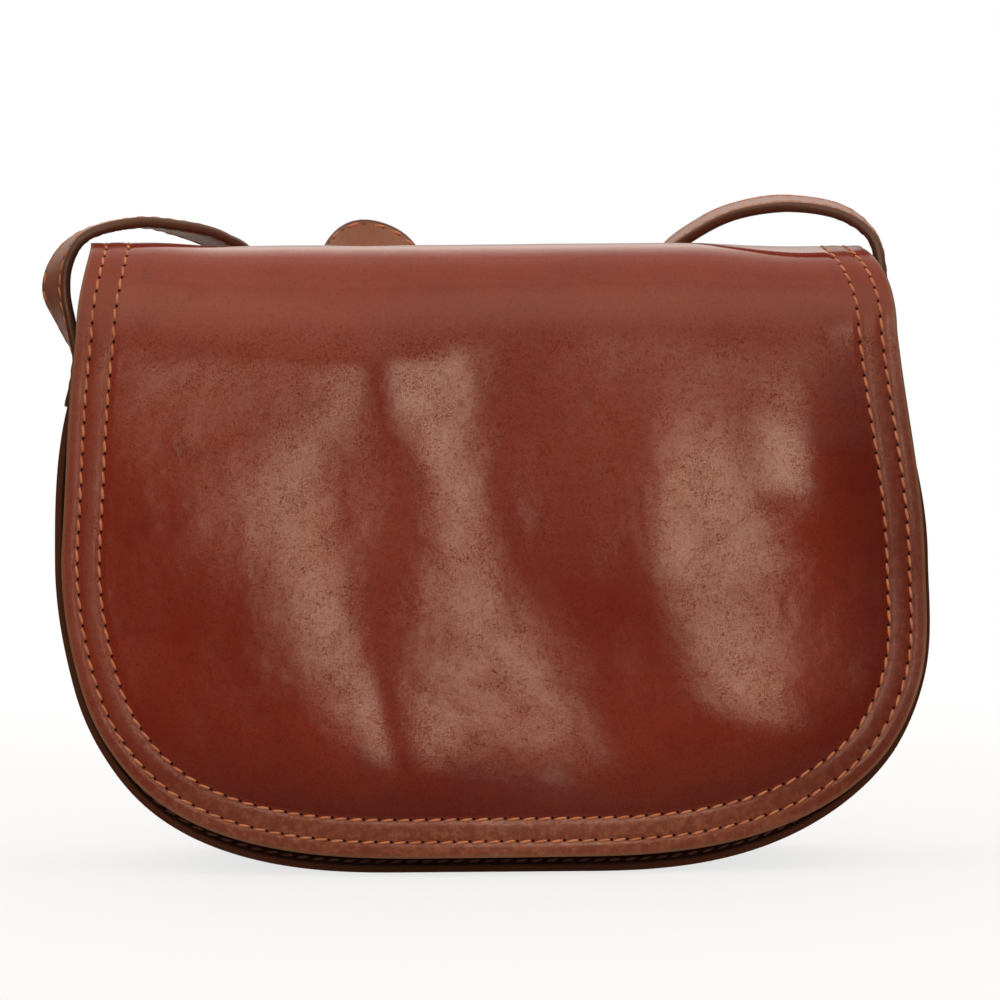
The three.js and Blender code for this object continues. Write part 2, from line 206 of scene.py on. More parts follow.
def stitchHoles(finish, distance, rows):
    holes = None
    for name, inset in rows:
        step = (finish.mark(name) / stitchPitch + 0.5).fract() - 0.5  # from the nearest hole
        step = step * (stitchPitch / stitchHole["halfLong"])
        side = (distance - (inset + stitchHole["shift"])) / stitchHole["halfWide"]
        hole = finish.ramp(step * step + side * side, stitchHole["core"], stitchHole["rim"], 1.0, 0.0)
        holes = hole if holes is None else holes + hole
    return holes


def leather(name, look):
    finish = Finish(bpy.data.materials.new(name))
    place, distance = finish.place(), finish.mark("edgeDistance")
    rightward, upward = (finish.part(place, axis) for axis in "XZ")

    def cloud(pattern):
        return finish.cloud(place, *hideClouds[pattern])

    def ramp(value, pattern):
        return finish.ramp(value, *hideRamps[pattern])

    def mottled(pattern):  # more in the mottled spots
        least, more = hideShares[pattern]
        return mottle * more + least

    broad, patchy, speck = cloud("broad"), cloud("patchy"), cloud("speck")
    cells = finish.node("ShaderNodeTexVoronoi", {"feature": "DISTANCE_TO_EDGE"},
                        {"Vector": place, "Scale": hidePebble, "Randomness": 1.0}, "Distance")
    smooth = ramp(upward, "smooth")  # the round top has less grain
    valley = ramp(cells, "valley") * ramp(patchy, "valleyPatch") * smooth
    bend = cloud("bend") - 0.5
    crease = ramp(bend * bend, "crease") * ramp(patchy, "creasePatch")
    blotch = broad * hideShares["broad"] + patchy * hideShares["patchy"]
    colour = finish.mix(ramp(blotch, "warm"), look["deep"], look["warm"])
    colour = finish.mix(ramp(patchy, "darkPatch"), colour, look["dark"])
    colour = finish.mix(ramp(speck, "darkSpeck"), colour, look["dark"])
    # Darker within 20 to 50 mm of the edge, towards the lower right and below the round top
    lowerRightDark = finish.ramp(distance + patchy * hideReach["lowerRightDarkPatch"],
                          hideReach["lowerRightDarkFrom"], hideReach["lowerRightDarkTo"], look["lowerRightDark"], 0.0)
    lowerRightDark = lowerRightDark * ramp(upward, "lowerRightDarkHeight")
    lowerRightDark = lowerRightDark * ramp(rightward - upward * hideReach["lowerRightDarkSlope"], "lowerRightDarkSlant")
    colour = finish.mix(lowerRightDark, colour, look["dark"])  # darker towards the lower right
    colour = finish.mix(valley * hideShares["valleyDark"], colour, look["dark"])
    rough = look["gloss"] + (patchy - 0.5) * hideRough["spread"] + valley * hideRough["valley"]
    relief = cloud("wave") * hideRelief["wave"] + cloud("grain") * hideRelief["grain"]
    relief = relief - crease * hideRelief["crease"] - valley * hideRelief["valley"]
    dull = valley * hideShares["valleyDull"]  # where there is no shine
    if look["border"]:  # handled until it is dull and mottled, and worn pale at its lower edge
        reach = hideReach["border"]
        border = finish.ramp(distance, look["border"] - reach, look["border"] + reach, 1.0, 0.0)
        mottle = ramp(cloud("mottle"), "mottle")
        colour = finish.mix(border * mottled("pale"), colour, look["pale"])
        colour = finish.mix(border * ramp(upward, "wornHeight") * mottled("worn"), colour, look["worn"])
        rough = rough + border * hideRough["border"]
        dull = dull + (1 - dull) * (border * ramp(upward, "sideHeight") * mottled("sides"))
    # A band along each edge in the look's edge colour: on the strap a dark dyed edge; on the flap and back
    # panel a tan painted sheen along the rounded edge; on the front panel a painted lit rim
    edgeDyeAndSheen = finish.ramp(distance, look["edgeReach"] - hideReach["edgeDyeAndSheen"], look["edgeReach"],
                         hideShares["edgeDyeAndSheen"], 0.0)
    colour = finish.mix(edgeDyeAndSheen, colour, look["edge"])
    dull = dull + (1 - dull) * ramp(speck, "dullSpeck") * smooth
    if look["rows"]:
        holes = stitchHoles(finish, distance, look["rows"]) * look["holes"]
        # painted shade in the stitch holes
        colour = finish.mix(holes, colour, stitchHole["colour"])
        rough = rough + holes * hideRough["hole"]
        relief = relief - holes * hideRelief["hole"]
        dull = dull + holes - dull * holes
    bump = finish.bump(relief)
    finish.shade(Base_Color=colour, Roughness=rough, Normal=bump)
    finish.shade(Specular_IOR_Level=look["shine"], Specular_Tint=hideTint)
    finish.shade(Coat_Weight=look["haze"], Coat_Roughness=hideRough["haze"])
    matte = {"Base Color": colour, "Normal": bump}
    finish.cover(dull, matte | {"Roughness": hideRough["dull"], "Specular IOR Level": 0.0})
    return finish.owner


# The rough back of the hide
fleshLook = dict(nap=(700, 6.0, 0.7), rise=0.00025, patches=(40, 4.0), spread=(0.35, 0.68), rough=0.92,
                 brown=rgb(0.16, 0.075, 0.042), pale=rgb(0.26, 0.14, 0.085))


def fleshSide():
    finish = Finish(bpy.data.materials.new("fleshSide"))
    place = finish.place()
    patches = finish.ramp(finish.cloud(place, *fleshLook["patches"]), *fleshLook["spread"])
    colour = finish.mix(patches, fleshLook["brown"], fleshLook["pale"])
    bump = finish.bump(finish.cloud(place, *fleshLook["nap"]), fleshLook["rise"])
    finish.shade(Base_Color=colour, Roughness=fleshLook["rough"], Normal=bump)
    return finish.owner


# Dyed and burnished cut edges; the flap's pale tan one is partly a painted sheen
edgeLook = dict(fibre=(420, 5.0, 0.65), spread=(0.36, 0.68), rise=0.00012, rough=0.55)


def cutEdge(name, pale, brown):
    finish = Finish(bpy.data.materials.new(name))
    fibre = finish.cloud(finish.place(), *edgeLook["fibre"])
    colour = finish.mix(finish.ramp(fibre, *edgeLook["spread"]), pale, brown)
    bump = finish.bump(fibre, edgeLook["rise"])
    finish.shade(Base_Color=colour, Roughness=edgeLook["rough"], Normal=bump)
    return finish.owner


# Waxed sewing thread
threadLook = dict(strand=(1500, 3.0, 0.6), rise=0.0001, patches=(160, 2.0), spread=(0.35, 0.65),
                  wear=(0.5, 0.8, 0.0, 0.4), rough=0.6)


def thread(name, pale, brown, worn):
    finish = Finish(bpy.data.materials.new(name))
    place = finish.place()
    strand = finish.cloud(place, *threadLook["strand"])
    patches = finish.ramp(finish.cloud(place, *threadLook["patches"]), *threadLook["spread"])
    colour = finish.mix(patches, brown, pale)
    colour = finish.mix(finish.ramp(strand, *threadLook["wear"]), colour, worn)
    bump = finish.bump(strand, threadLook["rise"])
    finish.shade(Base_Color=colour, Roughness=threadLook["rough"], Normal=bump)
    return finish.owner


flapLeather = leather("flapLeather", flapLook)
backLeather = leather("backLeather", bodyLook)
frontShadeLeather = leather("frontShadeLeather", frontShadeLook)
gussetLeather = leather("gussetLeather", gussetLook)
strapLeather = leather("strapLeather", strapLook)
roughBack = fleshSide()
# The flap's cut edge: its tan is partly a painted sheen of the rounded edge
paleEdge = cutEdge("paleEdge", rgb(0.20, 0.115, 0.065), rgb(0.11, 0.05, 0.027))
brownEdge = cutEdge("brownEdge", rgb(0.085, 0.026, 0.013), rgb(0.045, 0.012, 0.006))
orangeThread = thread(
    "orangeThread", rgb(0.72, 0.245, 0.10), rgb(0.58, 0.168, 0.064), rgb(0.36, 0.092, 0.038))
# Thread for the front panel: coloured dark maroon as painted shade, for the shadow under the flap
frontShadeThread = thread(
    "frontShadeThread", rgb(0.13, 0.03, 0.015), rgb(0.09, 0.018, 0.009), rgb(0.05, 0.01, 0.005))
print("finishes made")

# Shared making
edgeRounding = dict(angle=50, segments=3, profile=0.5)


def ease(low, high, value):
    t = min(1.0, max(0.0, (value - low) / (high - low)))
    return t * t * (3 - 2 * t)


def between(first, second, share):
    return first + (second - first) * share


def uneven(ripples, x, up):  # a row for each ripple: length across and up, layer of the noise, rise
    rises = 0.0
    for long, high, layer, rise in ripples:
        rises += rise * noise.noise(Vector((x / long, up / high, layer)))
    return rises


def makePiece(name, bm, finishes, node=None):
    bmesh.ops.scale(bm, vec=(toMetres, toMetres, toMetres), verts=bm.verts)
    mesh = bpy.data.meshes.new(name)
    bm.to_mesh(mesh)
    bm.free()
    mesh.shade_smooth()
    for finish in finishes:
        mesh.materials.append(finish)
    piece = bpy.data.objects.new(name, mesh)
    bpy.context.scene.collection.objects.link(piece)
    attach(piece, "root")
    if node:
        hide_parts(node)
    print("made", name, "with", len(mesh.polygons), "faces")
    return piece


def thicken(piece, thickness, rounding):  # materials: 0 outside, 1 inside, 2 cut edge
    wall = piece.modifiers.new("wall", "SOLIDIFY")
    wall.thickness, wall.offset, wall.use_even_offset = thickness * toMetres, -1, True
    wall.material_offset, wall.material_offset_rim = 1, 2
    edge = piece.modifiers.new("edge", "BEVEL")
    edge.limit_method, edge.angle_limit = "ANGLE", math.radians(edgeRounding["angle"])
    edge.width, edge.segments = rounding * toMetres, edgeRounding["segments"]
    edge.profile, edge.material = edgeRounding["profile"], -1


# Outlines and form of the bag
bagForm = dict(widestHeight=100, baseDepth=74, depthTaper=30, taperHeight=200, depthPower=1.2, frontPuff=9,
               backPuff=3, puffFullHeight=78, puffFadeFrom=90, puffFadeTo=190, puffEdgePower=1.5, lean=-2,
               leanFrom=100, leanTo=150, sway=2, swayFrom=8, swayFull=40, swayFade=60, swayEnd=100,
               fitGap=0.3)
bodyOutline = dict(low=0, flat=30, widest=140, cornerX=2.5, cornerZ=2.7, taper=25, taperPower=2)
bulgeOutline = dict(bodyOutline, taper=13.3)  # of the flap's bulge
flapOutline = dict(low=6, flat=28, widest=138.1, cornerX=2.6, cornerZ=2.8, taper=10, taperPower=1.3)


def halfWidth(outline, z):
    wide = bagForm["widestHeight"]
    if z >= wide:
        return outline["widest"] - outline["taper"] * ((z - wide) / wide) ** outline["taperPower"]
    drop = min(1.0, (wide - z) / (wide - outline["low"]))
    corner = (1 - drop ** outline["cornerZ"]) ** (1 / outline["cornerX"])
    return outline["flat"] + (outline["widest"] - outline["flat"]) * corner


def cornerHeights(outline, steps):  # from the widest height down to the lowest edge
    wide, power = bagForm["widestHeight"], 2 / outline["cornerZ"]
    turns = [(1 - k / steps) * math.pi / 2 for k in range(1, steps + 1)]
    return [wide - (wide - outline["low"]) * max(0.0, math.cos(turn)) ** power for turn in turns]


def halfDepth(z):
    taper = bagForm["depthTaper"] * (max(0.0, z) / bagForm["taperHeight"]) ** bagForm["depthPower"]
    return (bagForm["baseDepth"] - taper) / 2


def lowerSway(z):  # the lower corners of body and flap sit to the right
    start = ease(bagForm["swayFrom"], bagForm["swayFull"], z)
    return bagForm["sway"] * start * (1 - ease(bagForm["swayFade"], bagForm["swayEnd"], z))


def bodyMiddle(z):  # leaning over above the widest height
    return bagForm["lean"] * ease(bagForm["leanFrom"], bagForm["leanTo"], z) + lowerSway(z)


def puffFade(z):  # the stuffing holds the bag out less towards its top
    return 1 - ease(bagForm["puffFadeFrom"], bagForm["puffFadeTo"], z) / 2


def puff(x, z):
    across = min(1.0, abs(x - bodyMiddle(z)) / halfWidth(bodyOutline, z))
    rise = ease(0, bagForm["puffFullHeight"], z) * puffFade(z)
    return (1 - across ** 2) ** bagForm["puffEdgePower"] * rise


def frontPanelY(x, z):
    return -halfDepth(z) - bagForm["frontPuff"] * puff(x, z)


def backPanelY(x, z):
    return halfDepth(z) + bagForm["backPuff"] * puff(x, z)


# Leather sheets with a sewn border, laid out flat as x and the run up the sheet
sheetForm = dict(cornerSteps=150, bottomSteps=50, nudge=0.05, calmFrom=6, calmTo=24,
                 rimAcross=0.118, rimUp=0.14)


def runLengths(line):
    lengths = [0.0]
    for first, second in zip(line, line[1:]):
        lengths.append(lengths[-1] + (second - first).length)
    return lengths


def stretchAt(lengths, length):  # the stretch of a line that holds this length
    return min(len(lengths) - 2, max(0, bisect.bisect_right(lengths, length) - 1))


def walk(line, lengths, length):
    i = stretchAt(lengths, length)
    span = lengths[i + 1] - lengths[i]
    return line[i].lerp(line[i + 1], (length - lengths[i]) / span if span else 0.0)


def edgeLine(outline, top, halfAt, middleAt):  # down the left side, along the bottom, up the right side
    wide, across = bagForm["widestHeight"], sheetForm["bottomSteps"]
    steps = round(top - wide)
    runs = [between(top, wide, k / steps) for k in range(steps + 1)]
    runs += cornerHeights(outline, sheetForm["cornerSteps"])
    left = [Vector((middleAt(run) - halfAt(run), run)) for run in runs]
    right = [Vector((middleAt(run) + halfAt(run), run)) for run in reversed(runs)]
    bottom = [left[-1].lerp(right[0], k / across) for k in range(1, across)]
    line = left + bottom + right
    lengths = runLengths(line)
    count = round(lengths[-1])
    return [walk(line, lengths, lengths[-1] * k / count) for k in range(count + 1)]


def insetLine(line, inset):
    moved = []
    for i, point in enumerate(line):
        run = line[min(i + 1, len(line) - 1)] - line[max(i - 1, 0)]
        moved.append(point + Vector((-run.y, run.x)).normalized() * inset)
    return moved


def makeSheet(line, skin, facing, border):
    tree = kdtree.KDTree(len(line))
    for i, point in enumerate(line):
        tree.insert((point.x, point.y, 0), i)
    tree.balance()
    sewn = [insetLine(line, inset) for inset in border["rows"]]
    return dict(line=line, lengths=runLengths(line), tree=tree, skin=skin, facing=facing, border=border,
                sewn=sewn, sewnLengths=[runLengths(row) for row in sewn])


def nearEdge(sheet, x, run):  # distance to the edge, and how far along each sewn row
    line = sheet["line"]
    spot, nearest = Vector((x, run)), sheet["tree"].find((x, run, 0))[1]
    best = None
    for i in (max(0, nearest - 1), min(nearest, len(line) - 2)):
        step = line[i + 1] - line[i]
        share = min(1.0, max(0.0, (spot - line[i]).dot(step) / step.length_squared))
        away = (spot - line[i] - step * share).length
        if best is None or away < best[0]:
            best = (away, i, share)
    away, i, share = best
    return away, [between(lengths[i], lengths[i + 1], share) for lengths in sheet["sewnLengths"]]


def sewnRelief(border, away, along):  # puffed between its rows of stitches, and drawn in along them
    rows = border["rows"]
    rise = border["lip"] * math.sin(math.pi * min(1.0, away / rows[0]))
    if len(rows) > 1:
        share = (away - rows[0]) / (rows[1] - rows[0])
        rise += border["ridge"] * math.sin(math.pi * min(1.0, max(0.0, share)))
    for inset, length in zip(rows, along):
        pull = 1 + border["pucker"] * math.cos(2 * math.pi * length / stitchPitch)
        rise -= border["groove"] * pull * math.exp(-((away - inset) / border["grooveHalf"]) ** 2)
    return rise


def sheetPoint(sheet, x, run):  # place, direction out, distance to the edge, and how far along each row
    away, along = nearEdge(sheet, x, run)
    skin, nudge, border = sheet["skin"], sheetForm["nudge"], sheet["border"]
    base = skin(x, run)
    out = (skin(x + nudge, run) - base).cross(skin(x, run + nudge) - base).normalized() * sheet["facing"]
    calm = ease(sheetForm["calmFrom"], sheetForm["calmTo"], away)
    rise = sewnRelief(border, away, along) + uneven(border["ripples"], x, run) * calm
    return base + out * rise, out, away, along


def crowded(count, rim, share):  # 0 to 1, with rim of the steps crowded into share of the way
    places = [share * k / rim for k in range(rim)]
    return places + [between(share, 1.0, k / (count - rim)) for k in range(count - rim + 1)]


def layGrid(bm, sheet, grid):  # rows bend round the corners below grid["join"] and lie level above it
    line, lengths = sheet["line"], sheet["lengths"]
    columns, lowRows, highRows, join = grid["columns"], grid["lowRows"], grid["highRows"], grid["join"]
    last, half = len(line) - 1, len(line) // 2
    runs = [line[i + 1] - line[i - 1] for i in range(1, half)]
    leftTurn = max(i for i, run in enumerate(runs, 1) if abs(run.x) < abs(run.y))
    leftJoin = next(i for i in range(half) if line[i].y <= join)
    rightTurn, rightJoin = last - leftTurn, last - leftJoin
    halves = crowded(columns // 2, grid["rimColumns"], sheetForm["rimAcross"])
    shares = [0.5 * s for s in halves] + [1 - 0.5 * s for s in reversed(halves[:-1])]
    rises = crowded(lowRows, grid["rimRows"], sheetForm["rimUp"])
    rowsAbove = [between(join, line[0].y, k / highRows) for k in range(1, highRows + 1)]
    falling = [-point.y for point in line[:half]]
    bmesh.ops.create_grid(bm, x_segments=columns, y_segments=lowRows + highRows, size=1)
    marks = [bm.verts.layers.float.new(name) for name in ("edgeDistance", "outerRow", "innerRow")]

    def onLine(first, second, share):
        return walk(line, lengths, between(lengths[first], lengths[second], share))

    def levelRow(run, share):
        low = min(max(bisect.bisect_left(falling, -run), 1), half - 1)
        part = (line[low - 1].y - run) / (line[low - 1].y - line[low].y)
        left = line[low - 1].lerp(line[low], part)
        right = line[last - low + 1].lerp(line[last - low], part)
        return left.lerp(right, share)

    def bentRow(v, t):  # between the four sides of the lower part
        low, high = line[leftTurn].lerp(line[rightTurn], t), line[leftJoin].lerp(line[rightJoin], t)
        spot = onLine(leftTurn, rightTurn, t) * (1 - v) + high * v
        spot += onLine(leftTurn, leftJoin, v) * (1 - t) + onLine(rightTurn, rightJoin, v) * t
        return spot - (low * (1 - v) + high * v)

    for vert in bm.verts:
        t = shares[round((vert.co.x + 1) / 2 * columns)]
        row = round((vert.co.y + 1) / 2 * (lowRows + highRows))
        spot = bentRow(rises[row], t) if row <= lowRows else levelRow(rowsAbove[row - lowRows - 1], t)
        vert.co, out, away, along = sheetPoint(sheet, spot.x, spot.y)
        for mark, value in zip(marks, [away] + along):
            vert[mark] = value
    if sheet["facing"] < 0:
        bmesh.ops.reverse_faces(bm, faces=bm.faces)


# Stitches: one grain of thread between each two holes
stitchForm = dict(halfLong=2.0, halfWide=0.56, halfHigh=0.44, sink=0.06, slant=9, start=0.53,
                  sides=6, rings=5, batch=30)


def stitchPlace(middle, along, out):
    along = Matrix.Rotation(math.radians(stitchForm["slant"]), 3, out) @ along
    side = out.cross(along).normalized()
    axes = (side * stitchForm["halfWide"], out * stitchForm["halfHigh"], along * stitchForm["halfLong"])
    return Matrix.Translation(middle - out * stitchForm["sink"]) @ Matrix(axes).transposed().to_4x4()


def stitchMiddles(total):  # lengths along a row, clear of its ends
    return [(k + stitchForm["start"]) * stitchPitch for k in range(1, int(total / stitchPitch) - 1)]


def sewStitches(name, places, strand):  # in small batches, because an operator slows down as its mesh grows
    bm, batch, mesh = bmesh.new(), bmesh.new(), bpy.data.meshes.new("batch")
    for first in range(0, len(places), stitchForm["batch"]):
        for place in places[first:first + stitchForm["batch"]]:
            bmesh.ops.create_uvsphere(batch, u_segments=stitchForm["sides"], v_segments=stitchForm["rings"],
                                      radius=1, matrix=place)
        batch.to_mesh(mesh)
        bm.from_mesh(mesh)
        batch.clear()
    batch.free()
    bpy.data.meshes.remove(mesh)
    return makePiece(name, bm, (strand,))


def rowPlaces(sheet):
    places = []
    for line, lengths in zip(sheet["sewn"], sheet["sewnLengths"]):
        for middle in stitchMiddles(lengths[-1]):
            before, spot, after = (walk(line, lengths, middle + step) for step in (-1, 0, 1))
            point, out = sheetPoint(sheet, spot.x, spot.y)[:2]
            ahead = sheetPoint(sheet, after.x, after.y)[0] - sheetPoint(sheet, before.x, before.y)[0]
            ahead = (ahead - out * ahead.dot(out)).normalized()
            places.append(stitchPlace(point, ahead, out))
    return places


# Flap: from a seam on the back, over a round top, down the whole front
flapForm = dict(thickness=2.4, rounding=0.8, seamHeight=146, rollHeight=163, rollRun=52, rollPower=3.6,
                tailHeight=172, tailRun=43, tailHalf=121, crestHeight=201, crestHalf=125.5, crestShift=-4.2,
                crestLift=1.4, crestLiftFull=-112, crestLiftEnd=-85, standoff=2.5, belly=11.5,
                bellyPower=1.1, bellyHeight=90, hang=0.62, swellTop=162, swellEnd=192, swellSharpness=1.5,
                frontShift=0.6, shoulderShift=-1, shiftFrom=110, shiftTo=165, sag=2.4, sagFrom=62,
                sagFull=105, sagTurns=(0.3, 1.3), sagEnds=(1.4, 2.0))  # turns in radians, round the top
flapBorder = dict(rows=(5.0, 12.2), groove=0.22, grooveHalf=0.9, ridge=0.14, lip=0.06, pucker=0.3,
                  ripples=((34, 46, 0.3, 0.22), (13, 19, 4.7, 0.05)))
flapGrid = dict(columns=192, rimColumns=26, lowRows=84, rimRows=26, highRows=90, join=120)
flapSwells = (  # x, z, half size across and up, lean in degrees, height
    (-34, 49, 23, 90, 15, 0.86), (-32, 155, 23, 61, 20, 1.10), (-27, 29, 29, 28, -14, 1.2),
    (29, 63, 31, 47, 4, -2.14), (97, 132, 30, 46, 12, 2.60), (56, 132, 22, 38, 1, 1.22),
    (-118, 70, 33, 61, -44, -0.87), (97, 40, 36, 24, -26, 1.55), (1, 101, 24, 56, 8, -1.29),
    (-46, 153, 48, 24, 40, 0.98), (119, 93, 59, 24, -25, -1.48), (-76, 152, 59, 80, -19, 1.56),
    (-49, 177, 38, 24, -22, 1.02), (130, 168, 22, 24, 5, -0.41), (-53, 54, 34, 90, 20, 1.38))


def flapTailY(x, z):
    return backPanelY(x, z) + bagForm["fitGap"] + flapForm["thickness"]


def flapBelly(x, z):  # hangs further forward at its lower edge than the front panel does
    across = min(1.0, abs(x) / halfWidth(bulgeOutline, z))
    lack = max(0.0, 1 - z / flapForm["bellyHeight"])
    rise = (1 - (1 - flapForm["hang"]) * lack ** 2) * puffFade(z)
    return flapForm["belly"] * (1 - across ** 2) ** flapForm["bellyPower"] * rise


def flapSwell(x, z):  # where the stuffed leather bulges and sinks
    swell = 0.0
    for middleX, middleZ, halfX, halfZ, lean, rise in flapSwells:
        aside, above = x - middleX, z - middleZ
        cos, sin = math.cos(math.radians(lean)), math.sin(math.radians(lean))
        away = ((cos * aside + sin * above) / halfX) ** 2 + ((cos * above - sin * aside) / halfZ) ** 2
        swell += rise * math.exp(-flapForm["swellSharpness"] * away)
    return swell * (1 - ease(flapForm["swellTop"], flapForm["swellEnd"], z))


def flapFrontY(x, z):
    return -halfDepth(z) - flapForm["standoff"] - flapForm["thickness"] - flapBelly(x, z)


def rollTurn(run):  # none where the front begins to roll, a quarter at the crest, a half at the tail
    over = run - flapForm["rollHeight"]
    if over < flapForm["rollRun"]:
        return max(0.0, over / flapForm["rollRun"]) * math.pi / 2
    return (1 + min(1.0, (over - flapForm["rollRun"]) / flapForm["tailRun"])) * math.pi / 2


def flapHeight(x, run):
    turn = rollTurn(run)
    if turn == 0:
        return run
    if turn == math.pi:
        over = run - flapForm["rollHeight"] - flapForm["rollRun"] - flapForm["tailRun"]
        return flapForm["tailHeight"] - over
    low = flapForm["rollHeight"] if turn < math.pi / 2 else flapForm["tailHeight"]
    curl = flapForm["crestLift"] * (1 - ease(flapForm["crestLiftFull"], flapForm["crestLiftEnd"], x))
    sag = flapForm["sag"] * ease(flapForm["sagFrom"], flapForm["sagFull"], x)  # at the crest's right end
    sag *= ease(*flapForm["sagTurns"], turn) * (1 - ease(*flapForm["sagEnds"], turn))
    return low + (flapForm["crestHeight"] + curl - low) * math.sin(turn) - sag


def flapNeck(run):  # how far up from the shoulder to the crest
    shoulder = flapForm["tailHeight"]
    return min(1.0, max(0.0, (flapHeight(0, run) - shoulder) / (flapForm["crestHeight"] - shoulder)))


def flapHalf(run):
    turn = rollTurn(run)
    if turn > math.pi / 2:
        return between(flapForm["tailHalf"], flapForm["crestHalf"], ease(-1, 0, math.cos(turn)))
    shoulder = min(flapHeight(0, run), flapForm["tailHeight"])
    return between(halfWidth(flapOutline, shoulder), flapForm["crestHalf"], flapNeck(run) ** 2)


def flapMiddle(run):
    if rollTurn(run) >= math.pi / 2:
        return flapForm["crestShift"]
    z = min(flapHeight(0, run), flapForm["tailHeight"])
    shift = ease(flapForm["shiftFrom"], flapForm["shiftTo"], z)
    front = between(flapForm["frontShift"], flapForm["shoulderShift"], shift) + lowerSway(z)
    return between(flapForm["crestShift"], front, math.sqrt(1 - flapNeck(run) ** 4))


def flapSkin(x, run):
    turn, z = rollTurn(run), flapHeight(x, run)
    if turn == 0:
        return Vector((x, flapFrontY(x, z) - flapSwell(x, z), z))
    if turn == math.pi:
        return Vector((x, flapTailY(x, z), z))
    low, tail = flapForm["rollHeight"], flapForm["tailHeight"]
    front, back = flapFrontY(x, low), flapTailY(x, tail)
    middle, half = (back + front) / 2, (back - front) / 2
    if turn < math.pi / 2:  # goes on from the slope of the front, and then of the tail
        bow = math.sqrt(1 - math.sin(turn) ** flapForm["rollPower"])
        slope = (front - flapFrontY(x, low - 1)) * (z - low)
        return Vector((x, middle - half * bow + slope * bow ** 2 - flapSwell(x, z), z))
    bow = -math.cos(turn)
    slope = (back - flapTailY(x, tail - 1)) * (z - tail)
    return Vector((x, middle + half * bow + slope * bow ** 2, z))


def makeFlap():
    top = flapForm["rollHeight"] + flapForm["rollRun"] + flapForm["tailRun"]
    top += flapForm["tailHeight"] - flapForm["seamHeight"]
    sheet = makeSheet(edgeLine(flapOutline, top, flapHalf, flapMiddle), flapSkin, 1, flapBorder)
    bm = bmesh.new()
    layGrid(bm, sheet, flapGrid)
    flap = makePiece("flap_leather", bm, (flapLeather, roughBack, paleEdge), "flap")
    thicken(flap, flapForm["thickness"], flapForm["rounding"])
    sewStitches("flap_stitches", rowPlaces(sheet), orangeThread)


makeFlap()

# Seam that holds the flap's tail to the back
seamForm = dict(rise=4.2, inset=17)


def sewSeam():
    half, z = flapForm["tailHalf"] - seamForm["inset"], flapForm["seamHeight"] + seamForm["rise"]
    places = []
    for k in range(int(2 * half / stitchPitch) + 1):
        x = flapForm["crestShift"] - half + k * stitchPitch
        places.append(stitchPlace(Vector((x, flapTailY(x, z), z)), Vector((1, 0, 0)), Vector((0, 1, 0))))
    sewStitches("seam_stitches", places, orangeThread)


sewSeam()

# Front and back panels, each with one row of stitches round its rim
panelForm = dict(thickness=2, frontTop=158, backTop=171, rounding=0.6)
panelBorder = dict(rows=(3.6,), groove=0.35, grooveHalf=0.9, lip=0.15, pucker=0.3,
                   ripples=((38, 42, 9.1, 0.5), (12, 15, 2.2, 0.08)))
panelGrid = dict(columns=128, rimColumns=14, lowRows=56, rimRows=14, highRows=24, join=110)


def makePanel(name, node, surfaceY, facing, top, hide, strand):
    def skin(x, z):
        return Vector((x, surfaceY(x, z), z))

    def half(z):
        return halfWidth(bodyOutline, z)

    sheet = makeSheet(edgeLine(bodyOutline, top, half, bodyMiddle), skin, facing, panelBorder)
    bm = bmesh.new()
    layGrid(bm, sheet, panelGrid)
    panel = makePiece(name, bm, (hide, roughBack, brownEdge), node)
    thicken(panel, panelForm["thickness"], panelForm["rounding"])
    sewStitches(name + "_stitches", rowPlaces(sheet), strand)


# The front panel's leather and thread carry painted shade, for the flap's shadow over them
makePanel("front_leather", "front_panel", frontPanelY, 1, panelForm["frontTop"], frontShadeLeather, frontShadeThread)
makePanel("back_leather", "back_panel", backPanelY, -1, panelForm["backTop"], backLeather, orangeThread)

# Gusset: one strip round both sides and the base, with a lip turned in behind each panel
gussetForm = dict(top=168, thickness=2, rounding=0.6, lip=9, fold=1.3, gap=2.3, baseHalf=30, recess=1.2,
                  recessFrom=5, recessFull=60, dip=4, dipFrom=10, dipTo=145,
                  ripple=0.35, rippleSize=(30, 1.6, 24))
gussetGrid = dict(steps=220, profileSteps=40, nudge=0.004, baseShare=0.1, cornerShare=0.62, webShare=0.6,
                  foldShare=0.8, edgeDistance=9.0)  # all over the gusset, so no part of it takes the edge colour band


def bodyRim(along):  # -1 the left top, 0 the middle of the base, 1 the right top
    share, side = abs(along), math.copysign(1, along)
    base, corner, wide = gussetGrid["baseShare"], gussetGrid["cornerShare"], bagForm["widestHeight"]
    if share < base:
        return Vector((along / base * gussetForm["baseHalf"], 0))
    share = (share - base) / (1 - base)
    if share > corner:
        z = between(wide, gussetForm["top"], (share - corner) / (1 - corner))
    else:
        turn = share / corner * math.pi / 2
        z = wide * (1 - max(0.0, math.cos(turn)) ** (2 / bodyOutline["cornerZ"]))
    return Vector((bodyMiddle(z) + side * halfWidth(bodyOutline, z), z))


